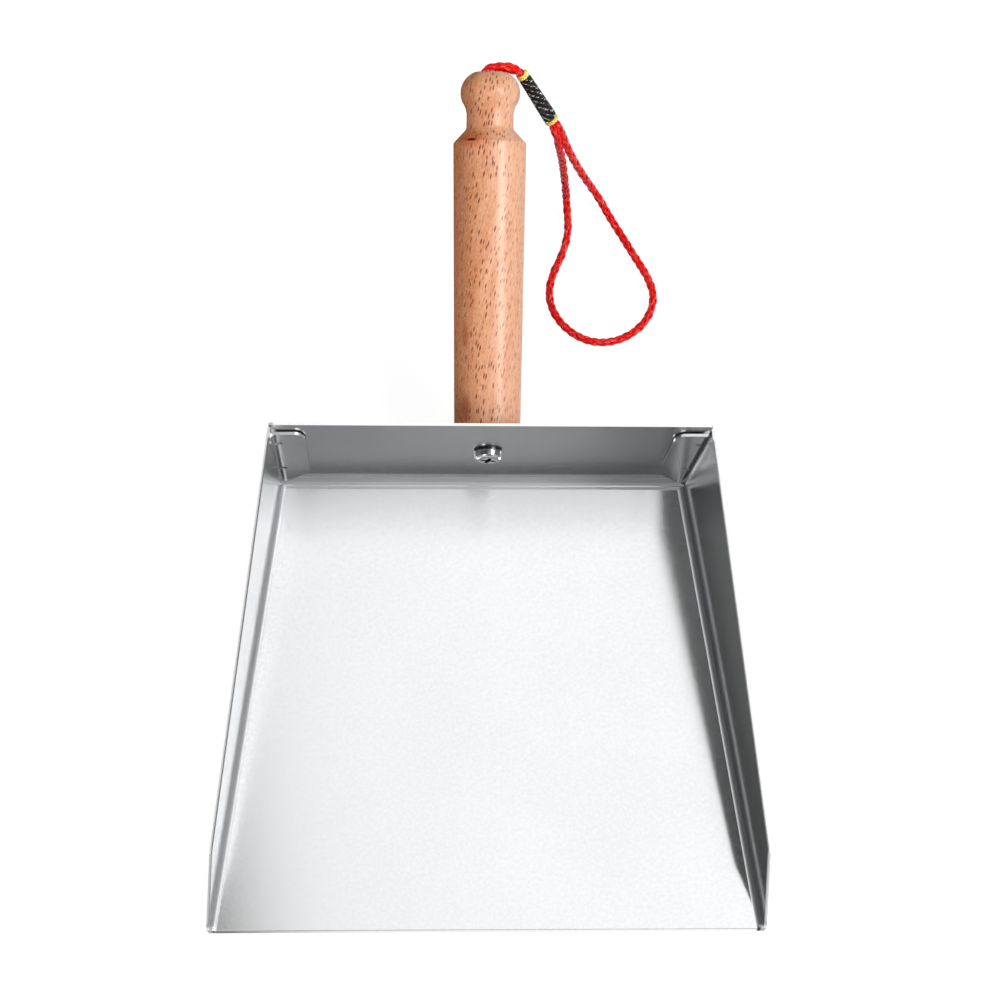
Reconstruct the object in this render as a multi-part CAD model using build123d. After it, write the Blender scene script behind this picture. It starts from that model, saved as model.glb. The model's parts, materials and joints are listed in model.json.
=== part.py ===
from build123d import *
import os
from math import cos, pi, radians, sin, sqrt, tan

# Small hand dust pan: a folded steel pan, a turned beech handle screwed to its back wall,
# and a cord lanyard glued into the handle's end.
# The pan stands on z = 0 with its mouth towards -Y, and the handle rises towards +Y.
# The origin is under the middle of the pan and handle together.

# Pan, outside sizes
sheet = 0.8
mouth_width = 160.6
back_width = 124.4
pan_depth = 136.0
back_height = 52.6
step_height = 25.9
step_distance = 21.1
step_radius = 4.0
bend_radius = 2.0
fold_radius = 1.6
lip_bevel_length = 0.6
lip_bevel_depth = 0.2
back_corner_radius = 1.2

# Corner tabs, folded from the side walls and laid inside the back wall
tab_width = 10.0
tab_drop = 4.6
tab_corner_width = 2.8
tab_corner_height = 5.6
tab_foot = 12.5
tab_gap = 0.5
relief_height = 2.2
relief_length = 1.8
weld_diameter = 2.0
weld_depth = 0.35
weld_inset = 1.8
weld_heights = (16.5, 40.0)

# Screw and washer
screw_diameter = 4.0
screw_length = 26.0
screw_tip_length = 5.0
screw_height = 30.0
screw_clearance = 0.1
head_diameter = 7.8
head_height = 2.3
head_round = 1.3
recess_span = 4.6
recess_width = 1.1
recess_depth = 1.5
recess_turn = 14.0
washer_diameter = 8.8
washer_thickness = 0.8

# Handle, turned round an axis that rises from the back wall. Its length is measured along that axis,
# and the places of the shoulder, neck and knob are measured back from its end face.
handle_length = 109.0
handle_rise = 22.0
foot_height = 26.0
grip_diameter = 19.2
shoulder_diameter = 21.0
shoulder_from_end = 19.9
neck_base_from_end = 15.9
neck_base_diameter = 13.6
neck_diameter = 13.5
neck_hollow_radius = 6.0
knob_diameter = 17.1
knob_from_end = 5.7
end_face_diameter = 9.6
edge_round = 0.8
neck_base_round = 1.6

# Cord and its hole in the handle
cord_diameter = 2.5
strand_gap = 0.2
hole_clearance = 0.45
hole_depth = 25.0
hole_mouth_bevel = 0.6
glue_depth = 6.0
tail_reach = 0.2
swing_offset = 1.85
table_gap = 0.05
tube_arc_share = 0.45

# Thread wound round the doubled cord
wrapped_diameter = 2.6
whipping_thread = 0.6
whipping_pitch = 1.1
whipping_turns = 10
binding_thread = 0.7
binding_pitch = 1.2
binding_turns = 2
winding_clearance = 0.05
binding_inset = 0.5
winding_spacing = 1.0

# Places worked out from the sizes above
touching = 1e-6
grip_radius = grip_diameter / 2
knob_radius = knob_diameter / 2
face_radius = end_face_diameter / 2
knob_fall = knob_radius - face_radius
knob_arc = (knob_from_end**2 + knob_fall**2) / (2 * knob_fall)
handle_way = Vector(0, cos(radians(handle_rise)), sin(radians(handle_rise)))
handle_up = Vector(0, -handle_way.Z, handle_way.Y)
knob_reach = (knob_radius - knob_arc) * handle_way.Z + knob_arc
handle_reach = (handle_length - knob_from_end) * handle_way.Y + knob_reach
lip_y = -(pan_depth + handle_reach) / 2
wall_y = lip_y + pan_depth
inner_wall_y = wall_y - sheet
tab_back_y = inner_wall_y - tab_gap
side_slope = (mouth_width - back_width) / 2 / pan_depth
side_shift = sheet * sqrt(1 + side_slope**2)
tab_top = back_height - tab_drop
bend_outer = bend_radius + sheet
fold_outer = fold_radius + sheet
relief_y = tab_back_y - relief_length
cord_radius = cord_diameter / 2
strand_offset = (cord_diameter + strand_gap) / 2
hole_diameter = 2 * (cord_diameter + hole_clearance) + strand_gap
screw_axis = Plane(origin=(0, wall_y, screw_height), x_dir=(1, 0, 0), z_dir=(0, 1, 0))
handle_axis = Plane(origin=(0, wall_y, foot_height), x_dir=(1, 0, 0), z_dir=handle_way)


def half_width(y):
    """Half the pan's outside width at a place along Y."""
    return mouth_width / 2 - side_slope * (y - lip_y)


def side_profile():
    """The outline that the side walls are cut to, seen from the side, across the whole pan."""
    corners = [
        (lip_y, 0),
        (lip_y, sheet),
        (lip_y + step_distance, step_height),
        (wall_y, back_height),
        (wall_y, 0),
    ]
    face = Polygon(*corners, align=None)
    step = face.vertices().sort_by_distance((lip_y + step_distance, step_height, 0))[0]
    face = fillet(step, step_radius)
    return extrude(Plane.YZ * face, mouth_width / 2, both=True)


def tray_outline(back_y, inset):
    """The pan's plan outline out to a back line, with the side lines moved in."""
    front_y = lip_y - inset
    shift = side_shift if inset else 0
    front_half = half_width(front_y) - shift
    back_half = half_width(back_y) - shift
    corners = [(front_half, front_y), (back_half, back_y), (-back_half, back_y), (-front_half, front_y)]
    return Polygon(*corners, align=None)


def rounded_back(face, back_y, radius):
    """A plan outline with its two back corners rounded."""
    corners = [v for v in face.vertices() if abs(v.Y - back_y) < touching]
    return fillet(corners, radius)


def rounded_sides(solid, radius, z):
    """A tray block with its two long bottom edges rounded."""
    bottom = [e for e in solid.edges() if abs(e.center().Z - z) < touching]
    long_edges = [e for e in bottom if abs(e.tangent_at(0.5).Y) > abs(e.tangent_at(0.5).X)]
    return fillet(long_edges, radius)


def make_pan():
    """The folded sheet: floor, side walls with their folded tabs, and the back wall."""
    tab_front_y = tab_back_y - sheet
    room = back_height

    folded = extrude(rounded_back(tray_outline(tab_back_y, 0), tab_back_y, fold_outer), tab_top)
    folded = rounded_sides(folded, bend_outer, 0)
    inside = rounded_back(tray_outline(tab_front_y, sheet), tab_front_y, fold_radius)
    inside = extrude(Pos(0, 0, sheet) * inside, room)
    folded -= rounded_sides(inside, bend_radius, sheet)

    straight = extrude(tray_outline(tab_back_y, 0), room)
    straight -= extrude(tray_outline(wall_y, sheet), room)
    straight -= extrude(tray_outline(wall_y, 0), tab_top)
    walls = (folded + straight) & side_profile()

    # The tabs are what is left of the back fold: the middle goes, the tabs slope down to their folds,
    # and the foot of each fold is notched.
    tab_edge = half_width(tab_back_y) - tab_width
    tab_root = half_width(tab_back_y) - fold_outer
    right_corners = [(tab_root, sheet), (tab_root, relief_height), (tab_edge, tab_foot), (tab_edge, tab_top)]
    left_corners = [(-x, z) for x, z in reversed(right_corners)]
    gap = Polygon(*right_corners, *left_corners, align=None)
    ear = Polygon(
        (tab_edge, tab_top),
        (tab_edge, tab_top - tab_corner_height),
        (tab_edge + tab_corner_width, tab_top),
        align=None,
    )
    corner_centre = Pos(tab_edge + tab_corner_width, tab_top - tab_corner_height)
    ear -= corner_centre * Ellipse(tab_corner_width, tab_corner_height)
    gap = gap + ear + mirror(ear, about=Plane.YZ)
    cut_plane = Plane(origin=(0, wall_y, 0), x_dir=(1, 0, 0), z_dir=(0, -1, 0))
    walls -= extrude(cut_plane * gap, wall_y - tab_front_y + sheet)
    on_floor = (Align.CENTER, Align.MIN, Align.MIN)
    notch = Box(mouth_width, relief_length + sheet, relief_height, align=on_floor)
    walls -= Pos(0, relief_y, 0) * notch

    # The back wall turns up from the floor behind the tabs.
    bend_start = wall_y - bend_outer
    arc_middle = sin(radians(45))
    inner_mid = (bend_start + bend_radius * arc_middle, bend_outer - bend_radius * arc_middle)
    outer_mid = (bend_start + bend_outer * arc_middle, bend_outer - bend_outer * arc_middle)
    back_edges = [
        ThreePointArc((bend_start, sheet), inner_mid, (inner_wall_y, bend_outer)),
        Line((inner_wall_y, bend_outer), (inner_wall_y, back_height)),
        Line((inner_wall_y, back_height), (wall_y, back_height)),
        Line((wall_y, back_height), (wall_y, bend_outer)),
        ThreePointArc((wall_y, bend_outer), outer_mid, (bend_start, 0)),
        Line((bend_start, 0), (bend_start, sheet)),
    ]
    back = extrude(Plane.YZ * make_face(back_edges), back_width / 2, both=True)
    top_corners = [e for e in back.edges().filter_by(Axis.Y) if abs(e.center().Z - back_height) < touching]
    back = fillet(top_corners, back_corner_radius)
    strip = Box(back_width, bend_start - relief_y, sheet, align=on_floor)
    pan = walls + back + Pos(0, relief_y, 0) * strip

    bevel = Polygon(
        (lip_y, sheet),
        (lip_y, sheet - lip_bevel_depth),
        (lip_y + lip_bevel_length, sheet),
        align=None,
    )
    pan -= extrude(Plane.YZ * bevel, mouth_width, both=True)
    pan -= screw_axis * Cylinder(screw_diameter / 2 + screw_clearance, pan_depth)

    # Each weld leaves a shallow round dent in its tab.
    dent_radius = ((weld_diameter / 2) ** 2 + weld_depth**2) / (2 * weld_depth)
    dent_x = half_width(tab_front_y) - side_shift - weld_inset
    for side in (-1, 1):
        for height in weld_heights:
            pan -= Pos(side * dent_x, tab_front_y + weld_depth - dent_radius, height) * Sphere(dent_radius)
    return pan


def make_washer():
    """The flat washer on the inside of the back wall."""
    ring = Circle(washer_diameter / 2) - Circle(screw_diameter / 2 + screw_clearance)
    return screw_axis * Pos(0, 0, -sheet - washer_thickness) * extrude(ring, washer_thickness)


def make_screw():
    """The pan-head wood screw, head inside the pan; its thread is left as a plain shank."""
    head_seat = -sheet - washer_thickness
    shank_end = head_seat + screw_length
    head = Pos(0, 0, head_seat - head_height / 2) * Cylinder(head_diameter / 2, head_height)
    head = fillet(head.edges().group_by(Axis.Z)[0], head_round)
    shank_length = screw_length - screw_tip_length
    shank = Cylinder(screw_diameter / 2, shank_length, align=(Align.CENTER, Align.CENTER, Align.MIN))
    tip = Cone(screw_diameter / 2, screw_clearance, screw_tip_length)
    arm = Rectangle(recess_span, recess_width)
    cross = Rot(0, 0, recess_turn) * (arm + Rot(0, 0, 90) * arm)
    screw = head + Pos(0, 0, head_seat) * shank + Pos(0, 0, shank_end - screw_tip_length / 2) * tip
    screw -= Pos(0, 0, head_seat - head_height) * extrude(cross, recess_depth)
    return screw_axis * screw


def make_handle():
    """The turned handle: tapered grip, bevelled shoulder, neck and knob, cut off flat at the wall."""
    end = handle_length
    foot = -grip_radius * tan(radians(handle_rise))
    neck_radius = neck_diameter / 2
    knob_centre = Vector(knob_radius - knob_arc, end - knob_from_end)
    hollow_x = neck_radius + neck_hollow_radius
    reach = knob_arc + neck_hollow_radius
    hollow_centre = Vector(hollow_x, knob_centre.Y - sqrt(reach**2 - (hollow_x - knob_centre.X) ** 2))
    meeting = knob_centre + (hollow_centre - knob_centre) * (knob_arc / reach)
    neck_top = Vector(neck_radius, hollow_centre.Y)
    shoulder = Vector(shoulder_diameter / 2, end - shoulder_from_end)
    neck_base = Vector(neck_base_diameter / 2, end - neck_base_from_end)
    grip_foot = Vector(grip_radius, foot)
    edges = [
        Line((0, foot), grip_foot),
        Line(grip_foot, shoulder),
        Line(shoulder, neck_base),
        Line(neck_base, neck_top),
        TangentArc(neck_top, meeting, tangent=(0, 1)),
        ThreePointArc(meeting, (knob_radius, knob_centre.Y), (face_radius, end)),
        Line((face_radius, end), (0, end)),
        Line((0, end), (0, foot)),
    ]
    profile = make_face(edges)
    rounds = ((shoulder, edge_round), (neck_base, neck_base_round), (Vector(face_radius, end), edge_round))
    for place, radius in rounds:
        profile = fillet(profile.vertices().sort_by_distance(place)[0], radius)
    body = revolve(Plane.XZ * profile, Axis.Z)

    inwards = (Align.CENTER, Align.CENTER, Align.MAX)
    hole = Cylinder(hole_diameter / 2, hole_depth, align=inwards)
    mouth = Cone(hole_diameter / 2, hole_diameter / 2 + hole_mouth_bevel, hole_mouth_bevel, align=inwards)
    body -= Pos(0, 0, end) * hole
    body -= Pos(0, 0, end) * mouth
    body = handle_axis * body

    # The foot is cut to lie flat on the back wall, and the pilot hole is square to the wall.
    beyond_wall = Box(2 * grip_diameter, 2 * grip_diameter, grip_diameter, align=inwards)
    body -= screw_axis * beyond_wall
    pilot_end = screw_length - sheet - washer_thickness + screw_clearance
    outwards = (Align.CENTER, Align.CENTER, Align.MIN)
    body -= screw_axis * Cylinder(screw_diameter / 2 + screw_clearance, pilot_end, align=outwards)
    return body


def make_glue():
    """The glue that fills the bottom of the cord hole."""
    plug = Cylinder(hole_diameter / 2, glue_depth, align=(Align.CENTER, Align.CENTER, Align.MIN))
    return handle_axis * Pos(0, 0, handle_length - hole_depth) * plug


def make_tails():
    """The cord's two ends, one above the other, from the glue to just outside the hole."""
    start = handle_length - hole_depth + glue_depth
    length = hole_depth - glue_depth + tail_reach
    strand = Cylinder(cord_radius, length, align=(Align.CENTER, Align.CENTER, Align.MIN))
    return [handle_axis * Pos(0, side * strand_offset, start) * strand for side in (-1, 1)]


def cord_tube(points, name):
    """A tube along straight runs joined by arcs, each as large as its two runs allow."""
    radii = []
    for before, here, after in zip(points, points[1:], points[2:]):
        turn = radians((here - before).get_angle(after - here))
        shorter = min((here - before).length, (after - here).length)
        radii.append(tube_arc_share * shorter / tan(turn / 2))
    path = FilletPolyline(*points, radius=radii)
    section = Plane(origin=points[0], z_dir=points[1] - points[0]) * Circle(cord_radius)
    tube = sweep(section, path=path)
    share = tube.volume / (pi * cord_radius**2 * path.length)
    print(name, "length", round(path.length, 1), "volume share", round(share, 4),
          "radii", [round(r, 1) for r in radii])
    return tube


# The lanyard hangs from the mouth of its hole: a short neck, the whipped stretch, then two strands
# that come down to the table, where the loop lies. The two strands lie one before the other in the
# bend above the whipping, and side by side below it.
swing = handle_axis.origin + handle_way * (handle_length + swing_offset)
wrap_start = swing + Vector(9.3, -1.6, -2.9)
wrap_end = swing + Vector(19.5, -8.0, -17.9)
wrap_length = (wrap_end - wrap_start).length
wrap_way = (wrap_end - wrap_start).normalized()
wrap_place = Plane(origin=wrap_start, x_dir=(0, 1, 0), z_dir=wrap_way)
neck_run = 3.6
loop_run = 4.8
table_z = cord_radius + table_gap

bend_side = wrap_way.cross(Vector(1, 0, 0)).normalized()
turning_side = (handle_up + bend_side).normalized()
neck_line = [
    (swing, handle_up),
    (swing + Vector(4.0, 0, 0.2), turning_side),
    (wrap_start - wrap_way * neck_run, bend_side),
    (wrap_start, bend_side),
]
strand_offsets = (strand_offset, -strand_offset)
neck_routes = [[place + side * offset for place, side in neck_line] for offset in strand_offsets]

# Loop points: X from the middle, Y from the swing axis, Z from the table.
onlooker = Vector(-0.09, -0.47, 0.88)
loop_side = onlooker.cross(wrap_way).normalized() * strand_offset
left_start = wrap_end - loop_side
right_start = wrap_end + loop_side
loop_points = [
    (22.2, -10.4, 38.2),
    (23.8, -10.0, 30.2),
    (25.2, -9.7, 20.8),
    (26.4, -9.9, 13.0),
    (27.3, -11.4, 6.7),
    (27.9, -14.9, 2.8),
    (28.3, -20.6, table_z),
    (26.4, -28.3, table_z),
    (22.9, -35.3, table_z),
    (21.3, -42.4, table_z),
    (23.0, -49.4, table_z),
    (28.0, -55.4, table_z),
    (34.8, -58.7, table_z),
    (42.0, -58.4, table_z),
    (48.6, -55.1, table_z),
    (53.4, -49.5, table_z),
    (55.1, -42.8, table_z),
    (53.4, -36.5, table_z),
    (49.3, -29.3, table_z),
    (45.2, -21.8, table_z),
    (41.3, -15.2, 1.8),
    (38.2, -10.8, 4.6),
    (35.5, -9.5, 10.2),
    (32.4, -9.4, 18.2),
    (28.7, -9.4, 28.0),
    (25.4, -9.2, 37.6),
]
loop_route = [left_start, left_start + wrap_way * loop_run]
loop_route += [Vector(x, swing.Y + y, z) for x, y, z in loop_points]
loop_route += [right_start + wrap_way * loop_run, right_start]


def biarc(start, start_way, end, end_way):
    """Two arcs from start to end that leave and arrive along the given directions."""
    chord = end - start
    square = 2 * (start_way.dot(end_way) - 1)
    linear = -2 * chord.dot(start_way + end_way)
    reach = (-linear - sqrt(linear**2 - 4 * square * chord.dot(chord))) / (2 * square)
    first = start + start_way * reach
    last = end - end_way * reach
    middle = (first + last) * 0.5
    return [TangentArc(start, middle, tangent=start_way), TangentArc(middle, end, tangent=last - first)]


def winding(place, start, thread, pitch, turns, name):
    """Thread wound round the doubled cord: one tube, with straight ends."""
    radius = wrapped_diameter / 2 + winding_clearance + thread / 2

    def point(turn):
        angle = 2 * pi * turn
        local = Vector(radius * cos(angle), radius * sin(angle), start + pitch * turn)
        return place.from_local_coords(local)

    def way(turn):
        angle = 2 * pi * turn
        rise = pitch / (2 * pi)
        local = Vector(-radius * sin(angle), radius * cos(angle), rise)
        return (place.from_local_coords(local) - place.origin).normalized()

    edges = [Line(point(0) - way(0) * thread, point(0))]
    for quarter in range(4 * turns):
        here = quarter / 4
        there = here + 1 / 4
        edges += biarc(point(here), way(here), point(there), way(there))
    edges.append(Line(point(turns), point(turns) + way(turns) * thread))
    path = Wire(edges)
    section = Plane(origin=path.position_at(0), z_dir=path.tangent_at(0)) * Circle(thread / 2)
    tube = sweep(section, path=path)
    half_turn_steps = 12
    steps = 2 * half_turn_steps * turns
    samples = [path.position_at(i / steps) for i in range(steps + 1)]
    pairs = ((i, j) for i in range(steps) for j in range(i + half_turn_steps, steps + 1))
    least = min((samples[i] - samples[j]).length for i, j in pairs) - thread
    share = tube.volume / (pi * thread**2 / 4 * path.length)
    print(name, "length", round(path.length, 1), "least gap", round(least, 2),
          "volume share", round(share, 4))
    return tube


binding_length = binding_pitch * binding_turns
whipping_start = binding_inset + binding_length + winding_spacing
lower_start = wrap_length - binding_inset - binding_length

nodes = {
    "pan_body": make_pan(),
    "handle_screw": make_screw(),
    "screw_washer": make_washer(),
    "handle": make_handle(),
    "cord_glue": make_glue(),
    "cord_tails": Compound(make_tails()),
    "cord_neck": Compound([cord_tube(route, "cord_neck") for route in neck_routes]),
    "wrapped_cord": wrap_place * Cylinder(wrapped_diameter / 2, wrap_length,
                                          align=(Align.CENTER, Align.CENTER, Align.MIN)),
    "upper_binding": winding(wrap_place, binding_inset, binding_thread, binding_pitch, binding_turns,
                             "upper_binding"),
    "whipping": winding(wrap_place, whipping_start, whipping_thread, whipping_pitch, whipping_turns,
                        "whipping"),
    "lower_binding": winding(wrap_place, lower_start, binding_thread, binding_pitch, binding_turns,
                             "lower_binding"),
    "cord_loop": cord_tube(loop_route, "cord_loop"),
}

os.makedirs("parts", exist_ok=True)
for name, solid in nodes.items():
    export_step(solid, f"parts/{name}.step")
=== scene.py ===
import json
from math import pi, radians, tau

import bpy
import numpy as np
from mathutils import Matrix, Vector


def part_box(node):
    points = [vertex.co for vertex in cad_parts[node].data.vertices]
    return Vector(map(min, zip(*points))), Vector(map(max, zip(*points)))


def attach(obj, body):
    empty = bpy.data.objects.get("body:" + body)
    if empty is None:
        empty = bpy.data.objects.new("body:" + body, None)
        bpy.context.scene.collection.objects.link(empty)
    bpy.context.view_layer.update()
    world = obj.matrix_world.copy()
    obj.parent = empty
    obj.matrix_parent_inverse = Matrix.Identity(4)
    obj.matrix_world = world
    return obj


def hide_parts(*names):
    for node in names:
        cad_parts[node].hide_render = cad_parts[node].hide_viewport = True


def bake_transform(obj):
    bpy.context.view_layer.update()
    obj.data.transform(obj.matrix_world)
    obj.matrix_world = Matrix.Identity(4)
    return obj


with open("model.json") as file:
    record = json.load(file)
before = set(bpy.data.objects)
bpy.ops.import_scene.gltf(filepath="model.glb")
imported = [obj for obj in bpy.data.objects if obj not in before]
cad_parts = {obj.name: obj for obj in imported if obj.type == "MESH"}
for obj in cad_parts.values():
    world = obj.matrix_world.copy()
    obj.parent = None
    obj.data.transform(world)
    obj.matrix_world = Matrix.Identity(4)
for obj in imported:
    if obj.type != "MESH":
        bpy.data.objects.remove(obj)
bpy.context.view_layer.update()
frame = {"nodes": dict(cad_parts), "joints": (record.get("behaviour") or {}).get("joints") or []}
cad = frame["nodes"]


# The pan is one sheet of satin stainless steel, cut flat and folded up at the back and the sides.
# The side walls end in tabs, spot welded to the inside of the back wall. Cut edges are left bare.
def material(name):
    """A new material, its node tree and its one Principled shader."""
    made = bpy.data.materials.new(name)
    made.use_nodes = True
    return made, made.node_tree, made.node_tree.nodes["Principled BSDF"]


def put(tree, kind, *values, **settings):
    """A shader node, by its first output. Values fill its sockets in order, and a setting goes to
    the socket or the property of that name. A value that is a socket itself is linked."""
    made = tree.nodes.new("ShaderNode" + kind)
    given = dict(enumerate(values))
    for name, value in settings.items():
        if name in made.inputs:
            given[name] = value
        else:
            setattr(made, name, value)
    for key, value in given.items():
        if isinstance(value, bpy.types.NodeSocket):
            tree.links.new(value, made.inputs[key])
        else:
            made.inputs[key].default_value = value
    return made.outputs[0]


def ramp(tree, value, start, end, first=0.0, last=1.0):
    """Goes from first to last as the value goes from start to end, and stays level past both."""
    return put(tree, "MapRange", value, start, end, first, last)


def times(tree, first, second):
    """One value times another."""
    return put(tree, "Math", first, second, operation="MULTIPLY")


def parts(tree, vector):
    """A vector's X, Y and Z."""
    return put(tree, "SeparateXYZ", vector).node.outputs


def place_on(tree):
    """Where a point of the piece lies, in metres."""
    return tree.nodes.new("ShaderNodeTexCoord").outputs["Object"]


def normal_on(tree):
    """The way that the surface faces at a point of the piece."""
    return tree.nodes.new("ShaderNodeNewGeometry").outputs["Normal"]


def colour(red, green, blue):
    """A colour written as 0 to 255 on screen, as the linear colour that a shader takes."""
    screen = np.array([red, green, blue]) / 255
    linear = np.where(screen < 0.04045, screen / 12.92, ((screen + 0.055) / 1.055) ** 2.4)
    return (*linear.tolist(), 1.0)


def mixed(tree, share, first, second):
    """A colour that goes from the first to the second as the share goes from 0 to 1."""
    made = put(tree, "Mix", data_type="RGBA").node
    for key, value in (("Factor_Float", share), ("A_Color", first), ("B_Color", second)):
        socket = next(s for s in made.inputs if s.identifier == key)
        if isinstance(value, bpy.types.NodeSocket):
            tree.links.new(value, socket)
        else:
            socket.default_value = value
    return next(socket for socket in made.outputs if socket.identifier == "Result_Color")


def satin_metal(name, shade, roughness, grain):
    """Bare metal with an even grain: fine noise speckles the shade and the roughness a little, and
    broad noise clouds them, as the finish of a rolled sheet does."""
    cloud_size = 0.05
    dark_speckle = 0.9
    uneven = 0.02
    made, tree, shader = material(name)
    place = place_on(tree)
    fine = put(tree, "TexNoise", Vector=place, Scale=1 / grain, Detail=1.0)
    broad = put(tree, "TexNoise", Vector=place, Scale=1 / cloud_size, Detail=3.0)
    noise = put(tree, "Math", fine, broad, operation="ADD")
    darker = tuple(dark_speckle * part for part in shade[:3]) + (1.0,)
    speckled = mixed(tree, ramp(tree, noise, 0.7, 1.3), darker, shade)
    tree.links.new(speckled, shader.inputs["Base Color"])
    dull = ramp(tree, noise, 0.7, 1.3, roughness - uneven, roughness + uneven)
    tree.links.new(dull, shader.inputs["Roughness"])
    shader.inputs["Metallic"].default_value = 1.0
    return made, tree, shader


def folded_sheet(name, shade, roughness, grain, bow, welds):
    """Satin metal, brushed from side to side, as one folded sheet. Its normal leans up by the bow on
    the back wall and towards the mouth where the floor rises to that wall, as in a sheet that springs
    back after it is folded, and levels out on the lip's bevel. The folds are rougher, and the floor
    beside the right wall is smoother. Painted shade turns it grey in the folds and on the floor near
    the back wall and dims the outside, a painted highlight makes the sheared rims white, and painted
    shade draws a dark line at their inner corner; it is black where a spot weld has burnt it."""
    brushed = 0.7
    floor_top, rim_low = 0.0035, 0.004
    rise_reach, rise_tilt = 0.0165, -0.19
    lip_bevel, lip_tilt = (lip_front + 0.0007, lip_front + 0.0009), 0.27
    wall_slope, wall_reach = 0.1331, 0.0644
    fold_roughness, smooth_strip = 0.5, -0.085
    fold_shade_grey = colour(176, 177, 179)
    right_fold_shade_grey = colour(110, 111, 113)
    tab_fold_shade_grey = colour(104, 105, 107)
    back_floor_shade_grey = colour(196, 197, 199)
    outside_shade = (0.66, 0.66, 0.67)
    outside_gain = 12.0
    rim_highlight_white = (1.0, 1.0, 1.0, 1.0)
    corner_shade_black = colour(60, 60, 62)
    burn_black = colour(40, 40, 42)
    burn_core, burn_edge = 0.0005, 0.0013
    made, tree, shader = satin_metal(name, shade, roughness, grain)
    place = place_on(tree)
    normal = normal_on(tree)
    across, along, height = parts(tree, place)
    sideways, facing, upward = parts(tree, normal)
    side = put(tree, "Math", across, operation="ABSOLUTE")
    reach = put(tree, "Math", along, wall_slope, side, operation="MULTIPLY_ADD")

    lean = ramp(tree, facing, -0.85, -0.99, 0.0, bow)
    level = ramp(tree, along, *lip_bevel, lip_tilt, 0.0)
    on_floor = times(tree, ramp(tree, upward, 0.5, 0.9), ramp(tree, height, rim_low, floor_top))
    near_wall = ramp(tree, along, wall_back - rise_reach, wall_back, 0.0, rise_tilt)
    rise = times(tree, near_wall, on_floor)
    tilt = put(tree, "CombineXYZ", Y=put(tree, "Math", level, rise, operation="ADD"), Z=lean)
    leant = put(tree, "VectorMath", normal, tilt, operation="ADD")
    tree.links.new(put(tree, "VectorMath", leant, operation="NORMALIZE"), shader.inputs["Normal"])
    shader.inputs["Anisotropic"].default_value = brushed
    tree.links.new(put(tree, "CombineXYZ", Y=1.0, Z=0.03), shader.inputs["Tangent"])

    fold = times(tree, ramp(tree, upward, 0.08, 0.25), ramp(tree, upward, 0.9995, 0.985))
    fold = times(tree, fold, ramp(tree, along, lip_front + 0.0012, lip_front + 0.002))
    right_floor = times(tree, ramp(tree, upward, 0.9, 0.99), ramp(tree, across, 0.0, 0.01))
    beside_wall = ramp(tree, reach, wall_reach - 0.0095, wall_reach - 0.005, 0.0, smooth_strip)
    plain = shader.inputs["Roughness"].links[0].from_socket
    plain = put(tree, "Math", plain, times(tree, beside_wall, right_floor), operation="ADD")
    dull = put(tree, "Math", fold, fold_roughness, plain, operation="MULTIPLY_ADD")
    tree.links.new(dull, shader.inputs["Roughness"])

    tone = shader.inputs["Base Color"].links[0].from_socket
    # Painted shade: grey in the folds, darker in the right fold and in the folds of the tabs.
    any_fold = times(tree, fold, ramp(tree, upward, 0.97, 0.85, 0.0, 0.85))
    tone = mixed(tree, any_fold, tone, fold_shade_grey)
    right_fold = times(tree, fold, ramp(tree, sideways, -0.1, -0.4, 0.0, 0.8))
    tone = mixed(tree, right_fold, tone, right_fold_shade_grey)
    tab_fold = times(tree, ramp(tree, facing, -0.2, -0.4), ramp(tree, facing, -0.998, -0.97, 0.0, 0.9))
    tab_fold = times(tree, ramp(tree, upward, 0.25, 0.08), tab_fold)
    tone = mixed(tree, tab_fold, tone, tab_fold_shade_grey)
    # Painted shade: grey on the floor near the back wall.
    back_floor_shade = ramp(tree, along, wall_back - 0.016, wall_back - 0.003, 0.0, 0.8)
    back_floor_shade = times(tree, back_floor_shade, ramp(tree, upward, 0.9, 0.95))
    tone = mixed(tree, back_floor_shade, tone, back_floor_shade_grey)
    # Painted shade: the outside of the pan is dimmed.
    outward = times(tree, sideways, across)
    outside = put(tree, "Math", outward, outside_gain, facing, operation="MULTIPLY_ADD")
    dim = put(tree, "VectorMath", tone, outside_shade, operation="MULTIPLY")
    tone = mixed(tree, ramp(tree, outside, 0.4, 0.7), tone, dim)
    # Painted highlight: the sheared rims are white.
    rim = times(tree, ramp(tree, height, floor_top, rim_low), ramp(tree, upward, 0.6, 0.7))
    tone = mixed(tree, rim, tone, rim_highlight_white)
    # Painted shade: a dark line on the side walls' rims, at their inner corner.
    corner = ramp(tree, reach, wall_reach - 0.0004, wall_reach - 0.0005, 0.0, 0.7)
    corner = times(tree, corner, ramp(tree, reach, wall_reach - 0.0011, wall_reach - 0.001))
    corner = times(tree, corner, ramp(tree, along, wall_back - 0.004, wall_back - 0.0045))
    tone = mixed(tree, times(tree, rim, corner), tone, corner_shade_black)
    for weld, strength in welds:
        away = put(tree, "VectorMath", place, weld, operation="DISTANCE").node.outputs["Value"]
        burnt = ramp(tree, away, burn_core, burn_edge, strength, 0.0)
        tone = mixed(tree, burnt, tone, burn_black)
    tree.links.new(tone, shader.inputs["Base Color"])
    return made


def finish(piece, made):
    """Gives a piece its one material."""
    piece.data.materials.clear()
    piece.data.materials.append(made)


lip_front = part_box("pan_body")[0][1]
wall_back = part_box("pan_body")[1][1]
weld_out = 0.0599
weld_front = wall_back - 0.0021
low_weld, high_weld = 0.0165, 0.04
welds = [
    ((-weld_out, weld_front, low_weld), 0.95),
    ((-weld_out, weld_front, high_weld), 0.5),
    ((weld_out, weld_front, low_weld), 0.35),
    ((weld_out, weld_front, high_weld), 0.85),
]
steel = colour(243, 244, 245)
finish(cad["pan_body"], folded_sheet("pan_steel", steel, roughness=0.185, grain=0.001, bow=0.14, welds=welds))


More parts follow.
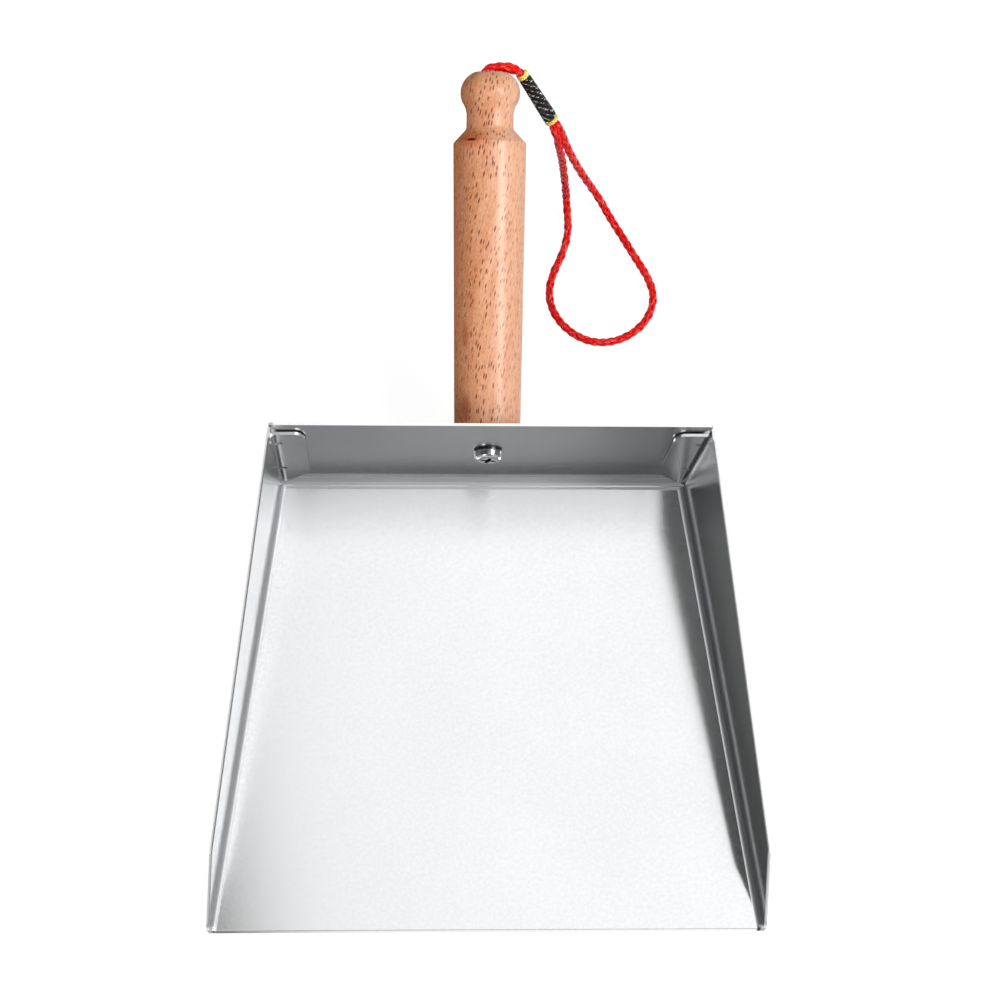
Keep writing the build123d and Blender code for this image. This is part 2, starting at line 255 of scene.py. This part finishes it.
# The handle is held by one pan-head wood screw with a flat washer, both zinc plated.
# The screw goes through the back wall from inside the pan; its cross recess is full of shade.
def zinc_with_rim_shade(name, shade, rim_shade):
    """Zinc plate, bright where it faces the mouth, with painted shade that makes it darker on top of its rim.
    """
    made, tree, shader = satin_metal(name, shade, roughness=0.26, grain=0.0003)
    plain = shader.inputs["Base Color"].links[0].from_socket
    normal = parts(tree, normal_on(tree))
    # Painted shade: darker on top of the rim, where it faces up.
    rim = times(tree, ramp(tree, normal["Y"], -0.55, -0.25), ramp(tree, normal["Z"], -0.1, 0.2))
    tree.links.new(mixed(tree, rim, plain, rim_shade), shader.inputs["Base Color"])
    return made, tree, shader


def recessed_zinc(name, shade, rim_shade, front, recess_radius):
    """Such plate with painted shade in the recess, which is black there: nearer to the screw's axis
    than the recess reaches, and a little behind the head's front."""
    recess_start = 0.00012
    made, tree, shader = zinc_with_rim_shade(name, shade, rim_shade)
    plain = shader.inputs["Base Color"].links[0].from_socket
    from_front = put(tree, "VectorMath", place_on(tree), tuple(front), operation="SUBTRACT")
    flat = put(tree, "VectorMath", from_front, (1.0, 0.0, 1.0), operation="MULTIPLY")
    radius = put(tree, "VectorMath", flat, operation="LENGTH").node.outputs["Value"]
    near = put(tree, "Math", radius, recess_radius, operation="LESS_THAN")
    deep = ramp(tree, parts(tree, from_front)["Y"], recess_start, 2 * recess_start)
    # Painted shade: the recess is black.
    recess_shade = mixed(tree, times(tree, near, deep), plain, colour(26, 24, 22))
    tree.links.new(recess_shade, shader.inputs["Base Color"])
    return made


washer_low, washer_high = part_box("screw_washer")
head_front = (washer_low + washer_high) / 2
head_front[1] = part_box("handle_screw")[0][1]
zinc = colour(206, 207, 209)
washer_rim_shade = colour(52, 52, 54)
head_rim_shade = colour(138, 138, 140)
finish(cad["screw_washer"], zinc_with_rim_shade("zinc_plate", zinc, washer_rim_shade)[0])
finish(cad["handle_screw"], recessed_zinc("screw_zinc", zinc, head_rim_shade, head_front, recess_radius=0.0025))


# The handle is turned from beech and oiled, and rises from the back wall. The short dark dashes are
# the wood's rays, cut across by the turning, and they drift with the grain along the handle's length.
handle_rise = radians(22.0)
handle_way = np.array([0.0, np.cos(handle_rise), np.sin(handle_rise)])
handle_up = np.array([0.0, -np.sin(handle_rise), np.cos(handle_rise)])
handle_foot = np.array([0.0, wall_back, 0.026])


def beech(name):
    """Wood in solid noise, stretched along the grain, which slants a little round the handle: wide
    bands of colour, with painted shade that makes them redder and darker to the left and a painted
    highlight that makes them paler to the right, fine fibre lines, pale flecks, and dashes where the
    rays, long thin cells in loose rows, meet the surface. Red heart marks and one short crack lie at
    places across, along and above the handle's axis. The oil's coat is laid only where the surface
    faces right, as a painted sheen on the lit side, and the left side has none."""
    slant = 0.2
    drift_scale, drift_reach = 28.0, (0.005, 0.0, 0.005)
    ray_size = (0.00085, 0.003, 0.002)
    faint_ray_size = (0.0006, 0.0026, 0.0016)
    fleck_size = (0.0003, 0.0009, 0.0003)
    fibre_size = (0.00035, 0.012, 0.00035)
    band_size = (0.005, 0.08, 0.005)
    dashes_left = 0.0013
    marks = (
        ((-0.0056, 0.0896, 0.008), (0.0048, 0.0028, 0.005), colour(206, 92, 46), 0.6),
        ((-0.0056, 0.0894, 0.008), (0.0017, 0.0005, 0.004), colour(70, 22, 8), 0.95),
        ((-0.0070, 0.0342, 0.0070), (0.0016, 0.0045, 0.0016), colour(190, 92, 56), 0.5),
        ((-0.0066, 0.0133, 0.0072), (0.0020, 0.0040, 0.0020), colour(186, 88, 52), 0.55),
    )
    made, tree, shader = material(name)
    turn = (-handle_rise, 0.0, 0.0)
    shift = -np.array([0.0, handle_foot @ handle_way, handle_foot @ handle_up])
    place = put(tree, "Mapping", Vector=place_on(tree), Rotation=turn, Location=tuple(shift))
    across, along = parts(tree, place)[:2]
    drift = put(tree, "TexNoise", Vector=place, Scale=drift_scale, Detail=1.0).node.outputs["Color"]
    drift = put(tree, "VectorMath", drift, (0.5, 0.5, 0.5), operation="SUBTRACT")
    drift = put(tree, "VectorMath", drift, drift_reach, operation="MULTIPLY")
    lean = put(tree, "CombineXYZ", times(tree, along, -slant))
    grain = put(tree, "VectorMath", place, drift, operation="ADD")
    grain = put(tree, "VectorMath", grain, lean, operation="ADD")

    def stretched(size):
        """The grain's place, with each side of a cell as one."""
        return put(tree, "VectorMath", grain, tuple(1 / side for side in size), operation="MULTIPLY")

    band = put(tree, "TexNoise", Vector=stretched(band_size), Scale=1.0, Detail=2.0)
    wood = mixed(tree, ramp(tree, band, 0.35, 0.65), colour(230, 154, 106), colour(248, 188, 146))
    # Painted highlight: paler towards the right, where the key light falls.
    wood = mixed(tree, ramp(tree, across, -0.005, 0.004, 0.0, 0.45), wood, colour(252, 208, 180))
    # Painted shade: redder and darker towards the left, away from the light.
    wood = mixed(tree, ramp(tree, across, -0.0095, -0.003, 0.6, 0.0), wood, colour(216, 124, 72))
    fibre = put(tree, "TexNoise", Vector=stretched(fibre_size), Scale=1.0, Detail=2.0)
    wood = mixed(tree, ramp(tree, fibre, 0.35, 0.65, 0.0, 0.45), wood, colour(208, 128, 82))
    fleck = put(tree, "TexNoise", Vector=stretched(fleck_size), Scale=1.0, Detail=1.0)
    wood = mixed(tree, ramp(tree, fleck, 0.5, 0.75, 0.0, 0.6), wood, colour(252, 204, 176))
    faint = put(tree, "TexVoronoi", Vector=stretched(faint_ray_size), Scale=1.0, Randomness=0.8)
    wood = mixed(tree, ramp(tree, faint, 0.12, 0.3, 0.45, 0.0), wood, colour(176, 98, 62))
    rays = put(tree, "TexVoronoi", Vector=stretched(ray_size), Scale=1.0, Randomness=0.7)
    off_dashes = put(tree, "Math", across, dashes_left, operation="ADD")
    off_dashes = put(tree, "Math", off_dashes, operation="ABSOLUTE")
    clear = ramp(tree, off_dashes, 0.0025, 0.0075, 0.95, 0.35)
    dash = times(tree, clear, ramp(tree, rays, 0.17, 0.36, 1.0, 0.0))
    wood = mixed(tree, dash, wood, colour(138, 66, 38))
    for centre, size, tint, share in marks:
        away = put(tree, "VectorMath", place, centre, operation="SUBTRACT")
        away = put(tree, "VectorMath", away, tuple(1 / side for side in size), operation="MULTIPLY")
        away = put(tree, "VectorMath", away, operation="LENGTH").node.outputs["Value"]
        wood = mixed(tree, ramp(tree, away, 0.5, 1.1, share, 0.0), wood, tint)
    tree.links.new(wood, shader.inputs["Base Color"])
    bump = put(tree, "Bump", Strength=0.2, Distance=0.0001, Height=fibre)
    tree.links.new(bump, shader.inputs["Normal"])
    # Painted sheen: the coat is laid only where the surface faces right, towards the key light.
    oiled = ramp(tree, parts(tree, normal_on(tree))["X"], -0.35, 0.1, 0.0, 0.7)
    tree.links.new(oiled, shader.inputs["Coat Weight"])
    shader.inputs["Coat Roughness"].default_value = 0.32
    shader.inputs["Roughness"].default_value = 0.5
    shader.inputs["Specular IOR Level"].default_value = 0.0
    return made


finish(cad["handle"], beech("oiled_beech"))


# The cord's two ends are glued into a blind hole in the knob. The set glue fills the hole's bottom,
# out of sight behind the cord.
def dried_glue(name):
    """Pale glue with small bubbles and a slightly uneven skin."""
    bubble_scale = 1200.0
    made, tree, shader = material(name)
    bubbles = put(tree, "TexNoise", Vector=place_on(tree), Scale=bubble_scale, Detail=2.0)
    clear = ramp(tree, bubbles, 0.35, 0.65)
    skin = mixed(tree, clear, colour(206, 190, 150), colour(226, 214, 182))
    tree.links.new(skin, shader.inputs["Base Color"])
    bump = put(tree, "Bump", Strength=0.3, Distance=0.0002, Height=bubbles)
    tree.links.new(bump, shader.inputs["Normal"])
    shader.inputs["Roughness"].default_value = 0.45
    return made


finish(cad["cord_glue"], dried_glue("dried_glue"))


# The lanyard is one length of red braided cord: eight flat strands of shiny filament round a core.
# Both ends are in the handle's hole; the doubled cord is whipped together and ends in a loop.
swing = np.array(frame["joints"][0]["pos_m"])
strand_offset = 0.0013
wrap_top = swing + (0.009, -0.0005, -0.00245)
wrap_bottom = swing + (0.0195, -0.008, -0.0179)
wrap_length = np.linalg.norm(wrap_bottom - wrap_top)
wrap_way = (wrap_bottom - wrap_top) / wrap_length
wrap_side = np.array([0.81, 0.48, 0.34])
wrap_side -= wrap_way * (wrap_side @ wrap_way)
wrap_side /= np.linalg.norm(wrap_side)
pressed_offset = 0.00066


def by_handle(points):
    """Route points given across the handle, along it and above it, from the swing axis."""
    return [tuple(swing + (x, 0, 0) + handle_way * along + handle_up * above) for x, along, above in points]


def pressed(along, side):
    """A route point inside the whipping, where the two cords are pressed side by side."""
    return tuple(wrap_top + wrap_way * along + wrap_side * side * pressed_offset)


def from_swing(points):
    """Route points whose Y is measured from the swing axis, in the part's frame."""
    return [(x, swing[1] + y, z) for x, y, z in points]


laid = 0.0013
outer_neck = by_handle([
    (-0.0014, -0.021, strand_offset),
    (-0.0014, -0.012, strand_offset),
    (-0.0017, -0.0076, strand_offset),
    (-0.0023, -0.0008, strand_offset),
    (0.0042, 0.0000, strand_offset),
    (0.0070, -0.0005, 0.00045),
])
loop = from_swing([
    (0.0209, -0.0100, 0.0452),
    (0.0222, -0.0104, 0.0382),
    (0.0238, -0.0100, 0.0302),
    (0.0252, -0.0097, 0.0208),
    (0.0264, -0.0099, 0.0130),
    (0.0273, -0.0114, 0.0067),
    (0.0279, -0.0149, 0.0028),
    (0.0283, -0.0206, laid),
    (0.0264, -0.0283, laid),
    (0.0229, -0.0353, laid),
    (0.0213, -0.0424, laid),
    (0.0230, -0.0494, laid),
    (0.0280, -0.0554, laid),
    (0.0348, -0.0587, laid),
    (0.0420, -0.0584, laid),
    (0.0486, -0.0551, laid),
    (0.0534, -0.0495, laid),
    (0.0551, -0.0428, laid),
    (0.0534, -0.0365, laid),
    (0.0493, -0.0293, laid),
    (0.0452, -0.0218, laid),
    (0.0413, -0.0152, 0.0018),
    (0.0382, -0.0108, 0.0046),
    (0.0350, -0.0095, 0.0102),
    (0.0315, -0.0094, 0.0182),
    (0.0277, -0.0094, 0.0280),
    (0.0244, -0.0092, 0.0376),
    (0.0222, -0.0090, 0.0455),
])
inner_neck = by_handle([
    (0.0072, -0.0008, -0.0021),
    (0.0042, -0.0004, -strand_offset),
    (-0.0023, -0.0008, -strand_offset),
    (-0.0017, -0.0076, -strand_offset),
    (-0.0014, -0.012, -strand_offset),
    (-0.0014, -0.021, -strand_offset),
])
wrap_places = (0.0003, 0.005, 0.0105, 0.0155, 0.0198)
route = outer_neck + [pressed(along, -1) for along in wrap_places] + loop
route += [pressed(along, 1) for along in reversed(wrap_places)] + inner_neck


def smooth_line(points, step):
    """The smooth line that has the route as its control points, as points at even steps of length,
    with the length gone at each."""
    curve = bpy.data.curves.new("route", "CURVE")
    curve.dimensions = "3D"
    spline = curve.splines.new("NURBS")
    spline.points.add(len(points) - 1)
    spline.points.foreach_set("co", np.c_[np.array(points), np.ones(len(points))].ravel())
    spline.order_u = 3
    spline.use_endpoint_u = True
    spline.resolution_u = 24
    holder = bpy.data.objects.new("route", curve)
    mesh = bpy.data.meshes.new_from_object(holder)
    line = np.empty(3 * len(mesh.vertices))
    mesh.vertices.foreach_get("co", line)
    line = line.reshape(-1, 3)
    bpy.data.objects.remove(holder)
    bpy.data.curves.remove(curve)
    bpy.data.meshes.remove(mesh)
    gone = np.r_[0, np.cumsum(np.linalg.norm(np.diff(line, axis=0), axis=1))]
    even = np.linspace(0, gone[-1], round(gone[-1] / step))
    return np.stack([np.interp(even, gone, line[:, axis]) for axis in range(3)], axis=1), even


def unit(vectors):
    """Each vector divided by its own length."""
    return vectors / np.linalg.norm(vectors, axis=-1, keepdims=True)


def square_to(line, up):
    """Two directions square to a line and to each other at each point, the first nearest to up."""
    way = unit(np.gradient(line, axis=0))
    over = unit(up - way * np.sum(way * up, axis=-1, keepdims=True))
    return over, np.cross(way, over)


def tubes(name, rings, made):
    """Closed tubes as one mesh, from rings of points: tube, ring along it, point round it, xyz.
    Each tube is a grid closed round, with a flat face at each end and a map of length and turn."""
    count, steps, sides = rings.shape[:3]
    vertex = np.arange(count * steps * sides).reshape(count, steps, sides)
    after = np.roll(vertex, -1, axis=2)
    quads = np.stack([vertex[:, :-1], after[:, :-1], after[:, 1:], vertex[:, 1:]], axis=-1).reshape(-1, 4)
    caps = np.r_[vertex[:, 0, ::-1], vertex[:, -1]]
    mesh = bpy.data.meshes.new(name)
    mesh.from_pydata(rings.reshape(-1, 3), [], quads.tolist() + caps.tolist())
    length = np.linalg.norm(np.diff(rings.mean(2), axis=1), axis=-1).cumsum(1)
    length = np.concatenate([np.zeros((count, 1)), length], axis=1)
    turn = np.arange(sides + 1) / sides
    here, there = np.broadcast_arrays(length[:, :-1, None], turn[None, None, :-1])
    right, far = np.broadcast_arrays(length[:, 1:, None], turn[None, None, 1:])
    corners = [(here, there), (here, far), (right, far), (right, there)]
    side_map = np.stack([np.stack(corner, axis=-1) for corner in corners], axis=-2).reshape(-1, 2)
    cap_map = np.zeros((caps.size, 2))
    layer = mesh.uv_layers.new(name="along")
    layer.uv.foreach_set("vector", np.r_[side_map, cap_map].astype(np.float32).ravel())
    mesh.polygons.foreach_set("use_smooth", np.r_[np.ones(len(quads)), np.zeros(len(caps))].astype(bool))
    mesh.update()
    piece = bpy.data.objects.new(name, mesh)
    bpy.context.scene.collection.objects.link(piece)
    finish(piece, made)
    return piece


def braid(line, gone, squeeze):
    """Rings of a braid of eight strands: four turn one way round the line and four the other, and
    each swings in and out by a cosine, so that it passes over one crossing strand and under the next.
    A strand's section is an ellipse, wide round the cord. The last tube is the round core."""
    pitch = 0.021
    middle = 0.00072
    swing_out = 0.0002
    half_width = 0.00056
    half_height = 0.0004
    core = 0.0006
    sides = 10
    over, beside = square_to(line, np.array([0.0, 0.0, 1.0]))
    ring = tau * np.arange(sides) / sides
    turn = tau * gone / pitch
    made = []
    for hand in (-1, 1):
        reach = (middle + hand * swing_out * np.cos(4 * turn)) * squeeze
        for strand in range(4):
            angle = hand * turn + tau * strand / 4
            out = np.cos(angle)[:, None] * over + np.sin(angle)[:, None] * beside
            centre = line + out * reach[:, None]
            flat = unit(np.cross(unit(np.gradient(centre, axis=0)), out))
            wide = (half_width * squeeze)[:, None, None] * np.cos(ring)[:, None] * flat[:, None]
            high = (half_height * squeeze)[:, None, None] * np.sin(ring)[:, None] * out[:, None]
            made.append(centre[:, None] + wide - high)
    round_core = np.cos(ring)[:, None] * over[:, None] + np.sin(ring)[:, None] * beside[:, None]
    made.append(line[:, None] + (core * squeeze)[:, None, None] * round_core)
    return np.stack(made)


def shiny_filament(name, main, shade, glint, filaments, outward):
    """Thread of many fine filaments laid side by side: painted shade darkens it round its section, away
    from the side that faces out, and painted glints lie on it as short pale streaks along it; it has
    fine ridges, with darker lines between them. The two noises are stretched along the thread, and
    outward is the turn, from 0 to 1, that faces out."""
    ridge_stretch = (90.0, 2.2 * filaments, 1.0)
    streak_stretch = (260.0, float(filaments), 1.0)
    made, tree, shader = material(name)
    along = put(tree, "UVMap", uv_map="along")
    turn = parts(tree, along)["Y"]
    faces_out = put(tree, "Math", turn, tau, -tau * outward, operation="MULTIPLY_ADD")
    faces_out = put(tree, "Math", faces_out, operation="COSINE")
    # Painted shade: darker round the section, away from the side that faces out.
    tone = mixed(tree, ramp(tree, faces_out, 0.1, 0.8, 0.5, 0.0), main, shade)
    stretch = put(tree, "VectorMath", along, ridge_stretch, operation="MULTIPLY")
    ridge = put(tree, "TexNoise", Vector=stretch, Scale=1.0, Detail=1.0)
    tone = mixed(tree, ramp(tree, ridge, 0.3, 0.5, 0.4, 0.0), tone, shade)
    stretch = put(tree, "VectorMath", along, streak_stretch, operation="MULTIPLY")
    glint_streak = put(tree, "TexNoise", Vector=stretch, Scale=1.0, Detail=1.0)
    # Painted glints: short pale streaks along the thread.
    tone = mixed(tree, ramp(tree, glint_streak, 0.58, 0.72, 0.0, 0.7), tone, glint)
    tree.links.new(tone, shader.inputs["Base Color"])
    bump = put(tree, "Bump", Strength=0.3, Distance=0.00008, Height=ridge)
    tree.links.new(bump, shader.inputs["Normal"])
    shader.inputs["Roughness"].default_value = 0.32
    shader.inputs["Specular IOR Level"].default_value = 0.22
    return made


line, gone = smooth_line(route, step=0.00036)
squeezed_by = 0.46
lead_in, ease = 0.002, 0.003
near_wrap = 0.003
along_wrap = (line - wrap_top) @ wrap_way
off_wrap = np.linalg.norm(line - wrap_top - along_wrap[:, None] * wrap_way, axis=1)
inside = np.clip(np.minimum(along_wrap + lead_in, wrap_length + lead_in - along_wrap) / ease, 0, 1)
inside = np.where(off_wrap < near_wrap, inside * inside * (3 - 2 * inside), 0)
squeeze = 1 - squeezed_by * inside
# The third colour of each set is the painted glint.
red_shades = (colour(255, 18, 14), colour(140, 0, 4), colour(255, 128, 120))
red_filament = shiny_filament("red_filament", *red_shades, filaments=4, outward=0.75)
red_cord = tubes("red_cord", braid(line, gone, squeeze), red_filament)
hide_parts("cord_tails", "cord_neck", "wrapped_cord", "cord_loop")
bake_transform(red_cord)


# The doubled cord is bound at both ends with bright yellow thread and whipped in between with
# twisted black thread that has one silver ply. The thread's ends are tucked under the turns.
def wound(start, turns, pitch, thread, plies, twist):
    """Rings of a twisted thread wound round the wrapped cord: a helix, whose ends dip under the
    turns, with the plies as thin tubes turning about the helix, one full turn in each twist."""
    thin_core, thick_core = 0.0012, 0.0016
    dip, tucked_turns = 0.0005, 0.3
    sides = 6
    step = twist / 9
    ply = thread / 2 / (1 + 1 / np.sin(pi / plies))
    reach = thread / 2 - ply
    first, second = wrap_side, np.cross(wrap_way, wrap_side)
    samples = round(turns * tau * (thick_core + thread / 2) / step)
    turned = np.linspace(0, turns, samples)
    along = start + pitch * turned
    radius = thin_core + (thick_core - thin_core) * along / wrap_length + thread / 2
    tuck = np.clip(1 - np.minimum(turned, turns - turned) / tucked_turns, 0, 1)
    far = radius - dip * tuck * tuck
    angle = tau * turned
    out = np.cos(angle)[:, None] * first + np.sin(angle)[:, None] * second
    helix = wrap_top + wrap_way * along[:, None] + out * far[:, None]
    way = unit(np.gradient(helix, axis=0))
    beside = np.cross(way, out)
    lay = tau * turned * tau * thick_core / twist
    ring = tau * np.arange(sides) / sides
    section = np.cos(ring)[:, None] * out[:, None] + np.sin(ring)[:, None] * beside[:, None]
    made = []
    for number in range(plies):
        phase = lay + tau * number / plies
        offset = np.cos(phase)[:, None] * out + np.sin(phase)[:, None] * beside
        made.append((helix + reach * offset)[:, None] + ply * section)
    return np.stack(made)


def tinsel_thread(name):
    """Black thread with a flat metal strip in it, which shows as short silver dashes: noise stretched
    along the thread says where the strip is on top."""
    dash_stretch = (520.0, 1.5, 1.0)
    made, tree, shader = material(name)
    along = put(tree, "UVMap", uv_map="along")
    stretch = put(tree, "VectorMath", along, dash_stretch, operation="MULTIPLY")
    shown = put(tree, "TexNoise", Vector=stretch, Scale=1.0, Detail=1.0)
    strip = ramp(tree, shown, 0.52, 0.56)
    tone = mixed(tree, strip, colour(34, 32, 32), colour(236, 238, 240))
    tree.links.new(tone, shader.inputs["Base Color"])
    tree.links.new(strip, shader.inputs["Metallic"])
    shader.inputs["Roughness"].default_value = 0.3
    return made


# The third colour of each set is the painted glint.
yellow_shades = (colour(255, 252, 150), colour(255, 210, 60), colour(255, 255, 226))
yellow_thread = shiny_filament("yellow_thread", *yellow_shades, filaments=4, outward=0.0)
black_shades = (colour(36, 34, 33), colour(10, 9, 8), colour(120, 120, 120))
black_thread = shiny_filament("black_thread", *black_shades, filaments=3, outward=0.0)
twist = 0.0016
binding = 0.0007
whipping_pitch = 0.00066
upper_turns = wound(0.0002, turns=3, pitch=0.00048, thread=binding, plies=2, twist=twist)
lower_turns = wound(0.0183, turns=2, pitch=0.00055, thread=binding, plies=2, twist=twist)
whipped = wound(0.0021, turns=24, pitch=whipping_pitch, thread=whipping_pitch, plies=3, twist=twist)
upper = tubes("upper_yellow_binding", upper_turns, yellow_thread)
lower = tubes("lower_yellow_binding", lower_turns, yellow_thread)
whipping = tubes("black_whipping", whipped[:2], black_thread)
tinsel = tubes("silver_ply", whipped[2:], tinsel_thread("tinsel_thread"))
bound = (
    (upper, "upper_binding", "yellow_thread"),
    (lower, "lower_binding", "yellow_thread"),
    (whipping, "whipping", "black_thread"),
    (tinsel, "whipping", "black_thread"),
)
for piece, node, slot in bound:
    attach(piece, "lanyard")
    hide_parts(node)


# The table is a wide pale sheet that runs on past the picture. It is white to the eye and to the
# metal, and keeps a faint shadow of the pan.
def pale_sheet(name):
    """Mostly its own white for what looks at it or mirrors it, and a little pale matte, which shades."""
    own_white = 0.94
    matte = 0.14
    made, tree, shader = material(name)
    looks = tree.nodes.new("ShaderNodeLightPath").outputs
    seen = put(tree, "Math", looks["Is Camera Ray"], looks["Is Glossy Ray"], operation="MAXIMUM")
    seen = put(tree, "Math", seen, looks["Is Transmission Ray"], operation="MAXIMUM")
    tree.links.new(times(tree, seen, own_white), shader.inputs["Emission Strength"])
    shader.inputs["Emission Color"].default_value = (1.0, 1.0, 1.0, 1.0)
    shader.inputs["Base Color"].default_value = (matte, matte, matte, 1.0)
    shader.inputs["Roughness"].default_value = 1.0
    shader.inputs["Specular IOR Level"].default_value = 0.0
    return made


table_reach = 30.0
table_drop = 0.0001
corners = table_reach * np.array([(-1, -1, 0), (1, -1, 0), (1, 1, 0), (-1, 1, 0)], float)
sheet = bpy.data.meshes.new("table")
sheet.from_pydata(corners - (0, 0, table_drop), [], [(0, 1, 2, 3)])
floor = bpy.data.objects.new("table", sheet)
bpy.context.scene.collection.objects.link(floor)
finish(floor, pale_sheet("pale_sheet"))


# Studio light: one wide softbox high over the pan and to its right and back, a dimmer panel high in
# front, a small key from the right and a fill from the left front. The walls all round are pale and
# the ceiling is dark.
def softbox(name, centre, aim, size, strength):
    """A soft rectangular lamp at a place, facing another; its strength is the brightness of its face."""
    lamp = bpy.data.lights.new(name, "AREA")
    lamp.shape = "RECTANGLE"
    lamp.size, lamp.size_y = size
    lamp.energy = strength * pi * size[0] * size[1]
    made = bpy.data.objects.new(name, lamp)
    made.location = centre
    made.rotation_euler = (Vector(aim) - Vector(centre)).to_track_quat("-Z", "Y").to_euler()
    bpy.context.scene.collection.objects.link(made)
    return made


overhead = softbox("overhead", (0.76, 0.37, 5.0), (0.76, 0.37, 0.0), size=(2.6, 4.58), strength=1.07)
overhead.rotation_euler.z = radians(12.0)
softbox("front_panel", (-0.03, -3.21, 5.0), (-0.03, -3.21, 0.0), size=(1.56, 2.58), strength=0.235)
handle_start = (0.0, 0.07, 0.05)
softbox("key", (1.0, -0.35, 1.3), handle_start, size=(0.5, 0.7), strength=17.0)
softbox("fill", (-0.75, -0.85, 1.05), handle_start, size=(0.6, 0.6), strength=5.3)

pale_walls = (0.6, 0.6, 0.6, 1.0)
dark_ceiling = (0.05, 0.05, 0.05, 1.0)
world = bpy.data.worlds.new("studio")
bpy.context.scene.world = world
world.use_nodes = True
sky = world.node_tree
way_up = parts(sky, sky.nodes.new("ShaderNodeTexCoord").outputs["Generated"])["Z"]
room = mixed(sky, ramp(sky, way_up, 0.25, 0.62), pale_walls, dark_ceiling)
sky.links.new(room, sky.nodes["Background"].inputs["Color"])


# The camera looks down into the pan from above its mouth, through a long lens. Its place and turn
# fit the pan's corners, and the shift puts the object where the picture has it.
camera = bpy.data.objects.new("camera", bpy.data.cameras.new("camera"))
camera.location = (-0.02684, -0.13843, 0.51455)
camera.rotation_euler = (radians(15.834), radians(-1.846), radians(-0.32))
camera.data.lens = 62.921
camera.data.shift_x = 0.0478
camera.data.shift_y = 0.006
camera.data.clip_start = 0.01
bpy.context.scene.collection.objects.link(camera)
bpy.context.scene.camera = camera
bpy.context.scene.view_settings.view_transform = "Standard"
